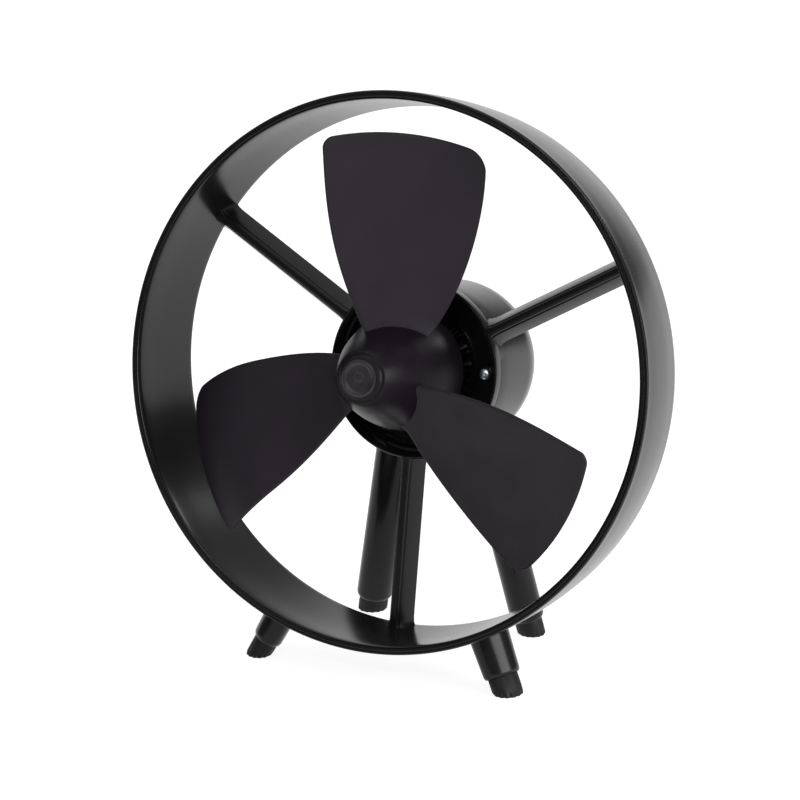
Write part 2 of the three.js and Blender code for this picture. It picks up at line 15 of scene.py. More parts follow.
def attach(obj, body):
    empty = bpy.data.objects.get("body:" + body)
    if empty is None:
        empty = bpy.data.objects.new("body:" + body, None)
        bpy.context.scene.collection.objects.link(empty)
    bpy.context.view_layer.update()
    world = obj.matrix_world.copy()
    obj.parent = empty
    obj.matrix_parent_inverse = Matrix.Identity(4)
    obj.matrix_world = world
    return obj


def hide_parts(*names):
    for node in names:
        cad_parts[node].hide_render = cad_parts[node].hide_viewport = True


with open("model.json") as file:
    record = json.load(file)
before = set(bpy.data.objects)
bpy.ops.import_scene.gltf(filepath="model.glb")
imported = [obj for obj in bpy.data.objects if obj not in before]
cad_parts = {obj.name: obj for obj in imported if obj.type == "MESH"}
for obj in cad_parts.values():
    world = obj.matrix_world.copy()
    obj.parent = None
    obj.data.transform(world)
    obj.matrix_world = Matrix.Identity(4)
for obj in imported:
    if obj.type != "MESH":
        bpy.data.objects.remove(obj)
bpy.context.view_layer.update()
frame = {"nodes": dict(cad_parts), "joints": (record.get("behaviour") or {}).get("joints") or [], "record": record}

MM = 0.001
SPIN = next(joint for joint in frame["joints"] if joint["name"] == "rotor_spin")
HEAD_CENTRE = Vector(SPIN["pos_m"])
HEAD_AXIS = Vector(SPIN["axis"]).normalized()
HEAD_UP = Vector((1, 0, 0)).cross(HEAD_AXIS)
HEAD_TURN = Matrix(((1, 0, 0), HEAD_AXIS, HEAD_UP)).transposed().to_4x4()
HEAD = Matrix.Translation(HEAD_CENTRE) @ HEAD_TURN @ Matrix.Scale(MM, 4)
STAND = Matrix.Translation((0, HEAD_CENTRE.y, 0)) @ Matrix.Scale(MM, 4)
STAND_TO_HEAD = HEAD.inverted() @ STAND

# ---- driving dimensions, in millimetres and degrees ----
SPOKE_ANGLES = {"right": 30, "left": 150, "bottom": 270}
SPOKE_FRONT = 37
RIM_RADIUS = 45.5
SCREW_CIRCLE = 35
SCREW_ANGLES = (1, 121, 241)
SCREW_HEAD = 2.75
RIB_COUNT = 18
RIB_START = 3
DOME_RADIUS = 42.8
DOME_CENTRE = 85.2
DOME_WALL = 2
VENT_COUNT = 11
VENT_START = -30
VENT_STEP = 24
GLAND_DROP = 35
BLADE_TIP = 119.5
BLADE_CHORD = 78
BLADE_THICKNESS = 2
CURL_START = 80
CURL_FRONT = 11.9
CURL_BACK = 16.3
CURL_SHARES = (0, 1, 0)
FOOT_LENGTH = 9
SHARP = math.radians(32)
BLADE_SHARP = math.radians(50)
NUT_SHARP = math.radians(20)


# ---- profiles ----
def rounded(corners, steps=4):
    """A closed outline of (x, y) or (x, y, fillet radius) corners, with each fillet as an arc."""
    points = []
    for index, corner in enumerate(corners):
        here = Vector(corner[:2])
        fillet = corner[2] if len(corner) > 2 else 0
        if not fillet:
            points.append(here)
            continue
        before = (Vector(corners[index - 1][:2]) - here).normalized()
        after = (Vector(corners[(index + 1) % len(corners)][:2]) - here).normalized()
        half = before.angle(after) / 2
        centre = here + (before + after).normalized() * fillet / math.sin(half)
        start = here + before * fillet / math.tan(half) - centre
        end = here + after * fillet / math.tan(half) - centre
        first = math.atan2(start.y, start.x)
        turn = math.remainder(math.atan2(end.y, end.x) - first, math.tau)
        for step in range(steps + 1):
            angle = first + turn * step / steps
            points.append(centre + fillet * Vector((math.cos(angle), math.sin(angle))))
    return points


def smooth_line(knots, steps=8):
    """A curve through every knot, a Catmull-Rom spline."""
    ends = [2 * Vector(knots[0]) - Vector(knots[1]), 2 * Vector(knots[-1]) - Vector(knots[-2])]
    line = [ends[0], *map(Vector, knots), ends[1]]
    points = []
    for a, b, c, d in zip(line, line[1:], line[2:], line[3:]):
        for step in range(steps):
            t = step / steps
            points.append(0.5 * (2 * b + (c - a) * t + (2 * a - 5 * b + 4 * c - d) * t ** 2
                                 + (3 * b - a - 3 * c + d) * t ** 3))
    return [*points, Vector(knots[-1])]


def radius_at(profile, y):
    """The radius of a list of (radius, y) at one y, with straight lines in between."""
    for (r0, y0), (r1, y1) in zip(profile, profile[1:]):
        if min(y0, y1) <= y <= max(y0, y1) and y0 != y1:
            return r0 + (r1 - r0) * (y - y0) / (y1 - y0)
    return profile[0][0] if abs(y - profile[0][1]) < abs(y - profile[-1][1]) else profile[-1][0]


# ---- meshes ----
def face(bm, corners):
    """Adds a face, leaving out a corner that repeats, as at a pole."""
    kept = [v for index, v in enumerate(corners) if v not in corners[:index]]
    if len(kept) > 2:
        bm.faces.new(kept)


def skin(bm, rings, closed):
    """Joins neighbouring rings of vertices with faces. A ring of one vertex is a pole."""
    pairs = list(zip(rings, rings[1:] + rings[:1])) if closed else list(zip(rings, rings[1:]))
    for one, two in pairs:
        for k in range(max(len(one), len(two))):
            face(bm, [one[k % len(one)], one[(k + 1) % len(one)],
                      two[(k + 1) % len(two)], two[k % len(two)]])


def turned(profile, segments=96):
    """Turns (radius, y) points about the y axis. They start and end on the axis, or close."""
    bm = bmesh.new()
    rings = []
    for radius, y in profile:
        if radius < 1e-6:
            rings.append([bm.verts.new((0, y, 0))])
            continue
        turns = [math.tau * k / segments for k in range(segments)]
        rings.append([bm.verts.new((radius * math.cos(a), y, radius * math.sin(a)))
                      for a in turns])
    on_axis = profile[0][0] < 1e-6 and profile[-1][0] < 1e-6
    skin(bm, rings, closed=not on_axis)
    bmesh.ops.recalc_face_normals(bm, faces=bm.faces)
    return bm


def loft(sections):
    """A closed solid through sections, each a ring of points with the same count."""
    bm = bmesh.new()
    rings = [[bm.verts.new(point) for point in section] for section in sections]
    skin(bm, rings, closed=False)
    bm.faces.new(rings[0][::-1])
    bm.faces.new(rings[-1])
    bmesh.ops.recalc_face_normals(bm, faces=bm.faces)
    return bm


def block(low, high, bevel=0.0, steps=2):
    """A box between two corners, with rounded edges."""
    bm = bmesh.new()
    bmesh.ops.create_cube(bm, size=1)
    size = Vector(high) - Vector(low)
    for vertex in bm.verts:
        vertex.co = Vector(low) + Vector(a * (b + 0.5) for a, b in zip(size, vertex.co))
    if bevel:
        bmesh.ops.bevel(bm, geom=bm.edges[:], offset=bevel, segments=steps, affect="EDGES",
                        profile=0.5)
    return bm


def moved(bm, matrix):
    bm.transform(matrix)
    return bm


def around(bm, degrees):
    """Turns about the fan's axis: 0 degrees points to +x, 90 degrees points up."""
    return moved(bm, Matrix.Rotation(-math.radians(degrees), 4, "Y"))


def merged(*parts):
    """Several meshes as one, each still a closed shell."""
    whole = bmesh.new()
    for part in parts:
        mesh = bpy.data.meshes.new("part")
        part.to_mesh(mesh)
        part.free()
        whole.from_mesh(mesh)
        bpy.data.meshes.remove(mesh)
    return whole


def temporary(bm):
    mesh = bpy.data.meshes.new("temporary")
    bm.to_mesh(mesh)
    bm.free()
    obj = bpy.data.objects.new("temporary", mesh)
    bpy.context.scene.collection.objects.link(obj)
    return obj


def combined(bm, tool, operation="DIFFERENCE"):
    """The exact cut, join or overlap of two solids."""
    body, cutter = temporary(bm), temporary(tool)
    modifier = body.modifiers.new("cut", "BOOLEAN")
    modifier.operation = operation
    modifier.solver = "EXACT"
    modifier.use_self = True
    modifier.object = cutter
    evaluated = body.evaluated_get(bpy.context.evaluated_depsgraph_get())
    mesh = bpy.data.meshes.new_from_object(evaluated)
    result = bmesh.new()
    result.from_mesh(mesh)
    bpy.data.meshes.remove(mesh)
    for obj in (body, cutter):
        old = obj.data
        bpy.data.objects.remove(obj)
        bpy.data.meshes.remove(old)
    bmesh.ops.remove_doubles(result, verts=result.verts, dist=1e-4)
    bmesh.ops.dissolve_degenerate(result, edges=result.edges, dist=1e-4)
    return result


def finished(name, bm, body, slot, nodes, matrix=HEAD, sharp=SHARP, look=None):
    """Puts a mesh into the scene as a piece that rides on a body and stands for CAD nodes.

    It has the look of its slot unless another one is given.
    """
    mesh = bpy.data.meshes.new(name)
    bm.to_mesh(mesh)
    bm.free()
    mesh.transform(matrix)
    mesh.polygons.foreach_set("use_smooth", [True] * len(mesh.polygons))
    mesh.set_sharp_from_angle(angle=sharp)
    mesh.materials.append(look or SLOT_LOOKS[slot])
    obj = bpy.data.objects.new(name, mesh)
    bpy.context.scene.collection.objects.link(obj)
    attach(obj, body)
    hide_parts(*nodes)
    return obj


# ---- materials ----
def map_range(nodes, links, value, source, target, smooth=False):
    """Maps a value from one (start, end) to another, and holds it at the ends."""
    node = nodes.new("ShaderNodeMapRange")
    if smooth:
        node.interpolation_type = "SMOOTHSTEP"
    for key, number in zip(("From Min", "From Max", "To Min", "To Max"), (*source, *target)):
        node.inputs[key].default_value = number
    links.new(value, node.inputs["Value"])
    return node.outputs["Result"]


class Shader:
    """One procedural material. Its patterns are laid out in metres, in the object's own space."""

    def __init__(self, name, base, roughness, metallic=0.0, specular=0.5, ior=1.5):
        self.material = bpy.data.materials.new(name)
        self.material.use_nodes = True
        self.nodes = self.material.node_tree.nodes
        self.links = self.material.node_tree.links
        self.surface = self.nodes["Principled BSDF"]
        self.surface.inputs["Base Color"].default_value = (*base, 1)
        self.surface.inputs["Roughness"].default_value = roughness
        self.surface.inputs["Metallic"].default_value = metallic
        self.surface.inputs["Specular IOR Level"].default_value = specular
        self.surface.inputs["IOR"].default_value = ior
        self.place = self.nodes.new("ShaderNodeTexCoord").outputs["Object"]
        self.normal = None

    def stretched(self, scale):
        """The object's space, squeezed along its axes, for grain that runs one way."""
        mapping = self.nodes.new("ShaderNodeMapping")
        mapping.inputs["Scale"].default_value = scale
        self.links.new(self.place, mapping.inputs["Vector"])
        return mapping.outputs["Vector"]

    def noise(self, per_metre, detail=3.0, rough=0.5, place=None):
        node = self.nodes.new("ShaderNodeTexNoise")
        node.inputs["Scale"].default_value = per_metre
        node.inputs["Detail"].default_value = detail
        node.inputs["Roughness"].default_value = rough
        self.links.new(place or self.place, node.inputs["Vector"])
        return node.outputs["Fac"]

    def cells(self, per_metre):
        node = self.nodes.new("ShaderNodeTexVoronoi")
        node.inputs["Scale"].default_value = per_metre
        self.links.new(self.place, node.inputs["Vector"])
        return node.outputs["Distance"]

    def spread(self, value, low, high, start=0.3, end=0.7):
        """Maps a pattern from start..end to low..high."""
        return map_range(self.nodes, self.links, value, (start, end), (low, high))

    def colour(self, value, stops):
        """Colours a pattern by (position, colour) stops."""
        node = self.nodes.new("ShaderNodeValToRGB")
        ramp = node.color_ramp
        while len(ramp.elements) < len(stops):
            ramp.elements.new(0.5)
        for element, (position, rgb) in zip(ramp.elements, stops):
            element.position = position
            element.color = (*rgb, 1)
        self.links.new(value, node.inputs["Fac"])
        self.links.new(node.outputs["Color"], self.surface.inputs["Base Color"])

    def roughness(self, value):
        self.links.new(value, self.surface.inputs["Roughness"])

    def bump(self, value, height, strength=1.0):
        """Raises the surface by a pattern. Several bumps add up."""
        node = self.nodes.new("ShaderNodeBump")
        node.inputs["Distance"].default_value = height
        node.inputs["Strength"].default_value = strength
        self.links.new(value, node.inputs["Height"])
        if self.normal:
            self.links.new(self.normal, node.inputs["Normal"])
        self.normal = node.outputs["Normal"]
        self.links.new(self.normal, self.surface.inputs["Normal"])


def gloss_shell():
    """Polished injection moulding: uneven polish, slow waves from shrinkage and a faint ripple."""
    shader = Shader("gloss_shell_look", (0.006, 0.006, 0.0063), 0.22, specular=0.4, ior=1.33)
    stops = [(0.35, (0.005, 0.005, 0.0053)), (0.7, (0.007, 0.0069, 0.0072))]
    shader.colour(shader.noise(18), stops)
    shader.roughness(shader.spread(shader.noise(20, 2), 0.19, 0.24))
    shader.bump(shader.noise(16, 1), 0.0004, 0.25)
    shader.bump(shader.noise(350, 2), 0.000002, 0.4)
    return shader.material


def soft_blade():
    """Soft vinyl with a fine sprayed grain, a purple tint and dust-sized pale specks."""
    shader = Shader("blade_look", (0.0145, 0.0115, 0.016), 0.5, specular=0.18)
    stops = [(0.3, (0.0115, 0.0087, 0.0126)), (0.72, (0.016, 0.012, 0.0174))]
    shader.colour(shader.noise(26, 4), stops)
    shader.roughness(shader.spread(shader.noise(60, 4), 0.44, 0.58))
    shader.bump(shader.cells(2200), 0.00003, 0.5)
    shader.bump(shader.noise(30, 2), 0.0006, 0.25)
    return shader.material


def hub_plastic():
    """Satin moulding, with rings left by polishing the mould towards the nose."""
    shader = Shader("hub_look", (0.0055, 0.0036, 0.006), 0.38, specular=0.12)
    stops = [(0.3, (0.0046, 0.003, 0.005)), (0.7, (0.0066, 0.0044, 0.0072))]
    shader.colour(shader.noise(40, 4), stops)
    shader.roughness(shader.spread(shader.noise(90, 5), 0.34, 0.42))
    shader.bump(shader.noise(420, 2, place=shader.stretched((1, 4, 1))), 0.00002, 0.4)
    return shader.material


def painted_nose_sheen():
    """The hub's plastic painted paler, a painted sheen that stands for the soft reflection in the nose's dish,
    with noise mottling it into a faint painted swirl.
    """
    # Painted sheen: the base colour is about twice as pale as the hub's.
    shader = Shader("nose_painted_sheen_look", (0.012, 0.009, 0.0128), 0.42, specular=0.36)
    stops = [(0.35, (0.006, 0.0045, 0.0065)), (0.7, (0.017, 0.014, 0.018))]
    shader.colour(shader.noise(160, 5), stops)
    shader.roughness(shader.spread(shader.noise(240, 5), 0.32, 0.5))
    shader.bump(shader.noise(500, 3), 0.00003, 0.5)
    return shader.material


def foot_rubber():
    """Dull rubber with a chalky bloom and a coarse grain."""
    shader = Shader("rubber_look", (0.0045, 0.0045, 0.005), 0.5, specular=0.2)
    stops = [(0.35, (0.0035, 0.0035, 0.004)), (0.75, (0.007, 0.007, 0.0075))]
    shader.colour(shader.noise(120, 6), stops)
    shader.roughness(shader.spread(shader.noise(200, 4), 0.45, 0.7))
    shader.bump(shader.noise(900, 5, 0.7), 0.00008, 0.6)
    return shader.material


def metal(name, dark, light, roughness, grain, height, stretch=(1, 1, 1)):
    """Bare or plated metal: mottled colour, uneven polish and a grain that may run one way."""
    shader = Shader(name, light, roughness, metallic=1.0)
    shader.colour(shader.noise(150, 4), [(0.3, dark), (0.7, light)])
    shader.roughness(shader.spread(shader.noise(260, 4), roughness * 0.75, roughness * 1.3))
    shader.bump(shader.noise(grain, 3, place=shader.stretched(stretch)), height, 0.6)
    return shader.material


def nylon():
    """Milky unfilled plastic with a little light passing through it."""
    shader = Shader("nylon_look", (0.62, 0.6, 0.53), 0.45)
    shader.surface.inputs["Subsurface Weight"].default_value = 0.15
    shader.surface.inputs["Subsurface Radius"].default_value = (0.001, 0.0009, 0.0007)
    shader.colour(shader.noise(90, 3), [(0.3, (0.58, 0.56, 0.49)), (0.7, (0.66, 0.64, 0.57))])
    shader.bump(shader.noise(700, 3), 0.00004, 0.4)
    return shader.material


NOSE_SHEEN = painted_nose_sheen()
SLOT_LOOKS = {
    "gloss_shell": gloss_shell(),
    "blade_plastic": soft_blade(),
    "hub_plastic": hub_plastic(),
    "foot_rubber": foot_rubber(),
    "screw_zinc": metal("zinc_look", (0.66, 0.74, 0.77), (0.86, 0.92, 0.94), 0.36, 900, 0.00003),
    "motor_steel": metal("steel_look", (0.42, 0.43, 0.45), (0.6, 0.61, 0.63), 0.3, 1200, 0.00002,
                         (1, 6, 1)),
    "core_steel": metal("laminated_look", (0.14, 0.14, 0.15), (0.28, 0.28, 0.3), 0.45, 700, 0.0002,
                        (0.2, 3, 0.2)),
    "winding": metal("winding_look", (0.42, 0.15, 0.05), (0.62, 0.26, 0.09), 0.32, 800, 0.0002,
                     (2, 0.3, 2)),
    "bush_bronze": metal("bronze_look", (0.34, 0.22, 0.09), (0.5, 0.34, 0.15), 0.45, 1500, 0.00006),
    "bracket_metal": metal("cast_look", (0.38, 0.38, 0.39), (0.55, 0.55, 0.56), 0.5, 600, 0.00012),
    "switch_nylon": nylon(),
}


def paint_frame():
    """Gives every CAD node the look of its slot. The nodes that are replaced aren't seen."""
    for row in frame["record"]["subparts"]:
        node = frame["nodes"][row["node"]]
        node.data.materials.clear()
        node.data.materials.append(SLOT_LOOKS[row["material_slot"]])


# ---- shroud ----
SHROUD_INNER = [(136.2, 0), (135.4, 2), (134.2, 18), (132.5, SPOKE_FRONT), (131.4, 49),
                (131.6, 50)]
SHROUD_OUTER = [(139.9, 1.4), (139.3, 15), (137.9, 32), (135.8, 48)]


def shroud():
    """A deep ring. Its front lip has a flat strip, a groove and a bead near the outer edge."""
    lip = [(135.9, 0, 0.5), (138.2, 0, 0.15), (138.4, 0.6, 0.15), (138.7, 0.6, 0.15),
           (138.9, 0, 0.3), (139.7, 0.2, 0.3), (140, 1.4, 0.3)]
    wall = smooth_line(SHROUD_OUTER, 6)[1:]
    back = [(135.4, 50, 0.7), (131.5, 50, 0.6)]
    inside = smooth_line([p for p in SHROUD_INNER if p[1] < 49.5], 5)[::-1][:-1]
    corners = [*lip, *[tuple(p) for p in wall], *back, *[tuple(p) for p in inside]]
    profile = rounded(corners, 4)
    finished("shroud_ring_moulded", turned(profile, 288), "frame", "gloss_shell", ["shroud_ring"])


def spoke(side, degrees):
    """A wedge-shaped bar: a narrow ridge in front, a small step on each side, then a wide back."""
    half = rounded([(0, 0), (1.6, 0, 0.75), (2.1, 1.5, 0.3), (2.8, 1.8, 0.4), (6.8, 12, 0.9),
                    (0, 12.4)], 4)
    half = [p for p in half if p.x > 1e-6]
    section = [*half, *[Vector((-p.x, p.y)) for p in reversed(half)]]
    steps = 20
    root_radius, sunk_in_ring = 44.6, 0.6
    root_flare, ring_flare = (9, 1.1), (7, 1.3)

    def ring(t):
        points = []
        for width, depth in section:
            start = math.sqrt(root_radius ** 2 - width ** 2)
            wall = radius_at(SHROUD_INNER, SPOKE_FRONT + depth) + sunk_in_ring
            end = math.sqrt(wall ** 2 - width ** 2)
            along = start + (end - start) * t
            swell = 0.0
            for gap, (reach, size) in ((along - start, root_flare), (end - along, ring_flare)):
                closeness = max(0.0, 1 - gap / reach)
                swell += size * closeness ** 4
            grown = width + math.copysign(swell, width)
            points.append((along, SPOKE_FRONT + depth, grown))
        return points

    places = [0.5 - 0.5 * math.cos(math.pi * k / steps) for k in range(steps + 1)]
    bar = loft([ring(t) for t in places])
    finished(f"spoke_{side}_moulded", around(bar, degrees), "frame", "gloss_shell",
             [f"spoke_{side}"])


# ---- motor housing ----
def pad(degrees):
    """The curved plate on each side of a spoke's root, which laps back over the dome."""
    inner, outer, half, front, back = 40.9, 43.9, 14, 42.4, 57
    columns = 24
    edge = 0.5

    def back_at(width):
        return back - max(0.0, abs(width) - (half - 4)) * 6 / 4

    rings = []
    for k in range(columns + 1):
        width = -half + 2 * half * k / columns
        angle = math.asin(width / outer)
        far = back_at(width)
        outline = [(inner, front), (outer - edge, front), (outer, front + edge),
                   (outer, far - edge), (outer - edge, far), (inner, far)]
        rings.append([(r * math.cos(angle), y, r * math.sin(angle)) for r, y in outline])
    return around(loft(rings), degrees)


def radial_box(inner, outer, front, back, half, degrees, bevel=0.0):
    return around(block((inner, front, -half), (outer, back, half), bevel), degrees)


def post(radius, front, back, circle, degrees, fillet=0.0, segments=32):
    profile = rounded([(0, front), (radius, front, fillet), (radius, back), (0, back)])
    disc = turned(profile, segments)
    return around(moved(disc, Matrix.Translation((circle, 0, 0))), degrees)


def every(count, start=0.0):
    return [start + 360 * index / count for index in range(count)]


def housing_front():
    """The rim, its deep recess with ribs and slots, the spigot, the pads and the screw bosses."""
    profile = rounded([
        (45, 37, 0.35), (RIM_RADIUS, 37.6, 0.3), (RIM_RADIUS, 43, 0.3), (41.6, 43), (41.6, 56, 0.4),
        (39.6, 56, 0.4), (39.6, 52.4), (9.5, 52.4, 0.3), (9.5, 50, 0.5), (39.2, 50, 1),
        (40.4, 48.8, 0.6),
        (43.4, 38.6, 0.3), (43.9, 38.4, 0.2), (44.2, 37, 0.3)])
    shell = turned(profile, 144)
    between = RIB_START + 180 / RIB_COUNT
    slots = [radial_box(21.5, 26.5, 49, 54, 1.7, a) for a in every(RIB_COUNT, between)]
    shell = combined(shell, merged(*slots))
    ribs = [radial_box(21, 27.5, 47.6, 50.6, 0.8, a, 0.3) for a in every(RIB_COUNT, RIB_START)]
    bosses = [post(4, 48.3, 51, SCREW_CIRCLE, a, 0.5) for a in SCREW_ANGLES]
    ring = turned(rounded([(28.6, 49, 0.4), (29.8, 49, 0.4), (29.8, 50.6), (28.6, 50.6)]), 96)
    pads = [pad(a) for a in SPOKE_ANGLES.values()]
    whole = merged(shell, ring, *ribs, *bosses, *pads)
    finished("motor_housing_moulded", whole, "frame", "gloss_shell", ["motor_housing_front"])


def dome_arc(radius, flat, steps=28):
    last = math.acos(flat / radius)
    turns = [last * k / steps for k in range(steps + 1)]
    return [(radius * math.cos(a), DOME_CENTRE + radius * math.sin(a)) for a in turns]


def rear_dome():
    """A thin shell: a short tube, then half a sphere with vents, a switch hole and a gland hole."""
    outer = dome_arc(DOME_RADIUS, 9)
    inner = dome_arc(DOME_RADIUS - DOME_WALL, 9)[::-1]
    hole = 5
    mouth = 41.9
    profile = rounded([(mouth, 43.3), (43.2, 43.3, 0.35), (43.2, 60), *outer,
                       (hole, outer[-1][1], 0.3), (hole, inner[0][1]), *inner,
                       (DOME_RADIUS - DOME_WALL, 58), (mouth, 57.2)])
    vents = []
    for index in range(VENT_COUNT):
        vents.append(radial_box(15.5, 26.5, 105, 132, 1.1, VENT_START + VENT_STEP * index, 0.9))
    gland = turned([(0, 34), (4.2, 34), (4.2, 48), (0, 48)], 48)
    dome = combined(turned(profile, 144), merged(*vents, moved(gland, towards_gland())))
    finished("rear_dome_moulded", dome, "frame", "gloss_shell", ["rear_dome"])


def towards_gland():
    """Takes what is drawn along the y axis to the gland's line, low in the dome's back."""
    drop = Matrix.Rotation(-math.radians(GLAND_DROP), 4, "X")
    return Matrix.Translation((0, DOME_CENTRE, 0)) @ drop


def cable_gland():
    profile = rounded([(3.9, 38.6, 0.4), (3.9, 43.1, 0.2), (6.2, 43.1, 0.3), (6.2, 45, 0.6),
                       (5.2, 46.2, 0.5), (2.6, 46.2, 0.4), (2.6, 38.6, 0.3)])
    gland = moved(turned(profile, 64), towards_gland())
    finished("cable_gland_moulded", gland, "frame", "foot_rubber", ["cable_gland"])


def housing_screw(index, degrees):
    """A pan-head screw with a domed head and a cross recess that narrows inwards.

    Each one is tightened to an angle of its own.
    """
    front, shank, tip = 46, 1.5, 63
    head = [(0, front), *[(SCREW_HEAD * math.sin(a), front + 1.1 * (1 - math.cos(a)))
            for a in (math.radians(d) for d in range(10, 81, 10))]]
    tail = [(SCREW_HEAD, front + 1.3), (SCREW_HEAD, front + 2), (shank, front + 2),
            (shank, tip - 1), (shank / 2, tip), (0, tip)]
    arms = []
    for turn in (0, 90):
        ring = [[(-reach, depth, -half), (reach, depth, -half), (reach, depth, half),
                 (-reach, depth, half)]
                for reach, half, depth in ((1.7, 0.42, front - 0.2), (0.7, 0.25, front + 1.3))]
        arms.append(around(loft(ring), turn))
    screw = combined(turned([*head, *tail], 48), combined(arms[0], arms[1], "UNION"))
    place = Matrix.Translation((SCREW_CIRCLE, 0, 0))
    first_twist, twist_step = 20, 37
    twist = Matrix.Rotation(math.radians(first_twist + twist_step * index), 4, "Y")
    screw = around(moved(screw, place @ twist), degrees)
    finished(f"housing_screw_{index}_plated", screw, "frame", "screw_zinc",
             [f"housing_screw_{index}"])


# ---- hub and blades ----
HUB_LINE = [(11.9, -25.4), (13.6, -24.2), (17.6, -16.5), (21.5, -7), (24.4, 0.5), (28.3, 14),
            (31, 30)]
HUB_WALL = 2.4
# Inside this radius the nose cap is painted paler, a painted sheen for the reflection in its dish.
PAINTED_SHEEN_RADIUS = 9.3


def hub_cone():
    """A bullet-shaped shell with an inner boss for the shaft and a pocket for the nut."""
    outer = [tuple(p) for p in smooth_line(HUB_LINE, 8)]
    shell = [(r - HUB_WALL, y) for r, y in outer if y > -16][::-1]
    boss = [(13.4, -18.4), (8, -18.4), (8, 24, 0.5), (3.15, 24), (3.15, -22), (11, -22),
            (11, -25.4, 0.3)]
    profile = rounded([*outer[:-1], (*outer[-1], 0.5), (shell[0][0], 30, 0.5), *shell[1:], *boss])
    finished("hub_cone_moulded", turned(profile, 160), "rotor", "hub_plastic", ["hub_cone"])


def nose_cap():
    """A round cap with a shallow dish, a rolled rim and a shoulder that runs on into the hub.

    Inside the rim it is painted paler, a painted sheen for the soft reflection in its dish.
    """
    dish = [(0, -27.2), (1.4, -27.18), (2.2, -27.05), (3, -27.2), (5.2, -27.3), (6.4, -27.35),
            (7.2, -27.7)]
    rim = [(7.9, -28), (8.6, -27.95), (9.1, -27.65), (9.45, -27.6)]
    shoulder = [(10.2, -27.2), (11.1, -26.5), (11.75, -25.6)]
    spigot = [(10.7, -25.7), (10.7, -23), (9.2, -23), (9.2, -25.5), (0, -25.5)]
    profile = [*[tuple(p) for p in smooth_line([*dish, *rim, *shoulder], 4)], *spigot]
    cap = finished("nose_cap_moulded", turned(profile, 96), "rotor", "hub_plastic", ["nose_cap"],
                   look=NOSE_SHEEN)
    cap.data.materials.append(SLOT_LOOKS["hub_plastic"])
    # Faces inside the rim take the paler painted sheen; the shoulder outside keeps the hub's own look.
    to_head = HEAD.inverted()
    for polygon in cap.data.polygons:
        x, _, z = to_head @ polygon.center
        polygon.material_index = int(math.hypot(x, z) > PAINTED_SHEEN_RADIUS)


BLADE_FRONT_EDGE = {"angle": (112.5, -4.8, -1.1, 1.2), "depth": (-11, -3, 2.2)}
BLADE_BACK_EDGE = {"angle": (61.9, 9.1, -2.2, 1.2), "depth": (18.9, -1.3, -5.6)}
# The polynomials are in (radius - BLADE_MIDDLE) / BLADE_SPAN.
BLADE_MIDDLE, BLADE_SPAN = 75, 45
FRONT_CORNER = 5
BACK_CORNER = 8.5


def polynomial(coefficients, t):
    return sum(coefficient * t ** power for power, coefficient in enumerate(coefficients))


def blade_point(across, radius):
    """The blade's middle surface: across runs from its front edge, 0, to its back edge, 1."""
    t = (radius - BLADE_MIDDLE) / BLADE_SPAN
    angles, depths = ([polynomial(edge[key], t) for edge in (BLADE_FRONT_EDGE, BLADE_BACK_EDGE)]
                      for key in ("angle", "depth"))
    angle = math.radians(angles[0] + (angles[1] - angles[0]) * across)
    depth = depths[0] + (depths[1] - depths[0]) * across
    return Vector((radius * math.cos(angle), depth, radius * math.sin(angle)))


def blade_tip(across):
    """The radius that the blade reaches, less where its corners are rounded off."""
    corner = FRONT_CORNER if across < 0.5 else BACK_CORNER
    to_edge = min(across, 1 - across) * BLADE_CHORD
    bend = max(0.0, 1 - to_edge / corner)
    return BLADE_TIP - corner * (1 - math.sqrt(max(0.0, 1 - bend * bend)))


def surface_normal(surface, across, radius):
    step = 0.01
    chordwise = surface(across + step, radius) - surface(across - step, radius)
    outwards = surface(across, radius + step) - surface(across, radius - step)
    return chordwise.cross(outwards).normalized()


def curled_point(across, radius, share):
    """The middle surface of a blade whose outer part has taken a set and curls back.

    The blade keeps its length, so it comes in towards the hub. The share is 0 for a straight blade.
    """
    point = blade_point(across, radius)
    span = BLADE_TIP - CURL_START
    reach = max(0.0, (radius - CURL_START) / span)
    curl = share * (CURL_FRONT + (CURL_BACK - CURL_FRONT) * across)
    shortening = 2 / 3 * curl ** 2 / span * reach ** 3
    inwards = Vector((-point.x, 0, -point.z)).normalized()
    backwards = -surface_normal(blade_point, across, radius)
    return point + backwards * curl * reach ** 2 + inwards * shortening


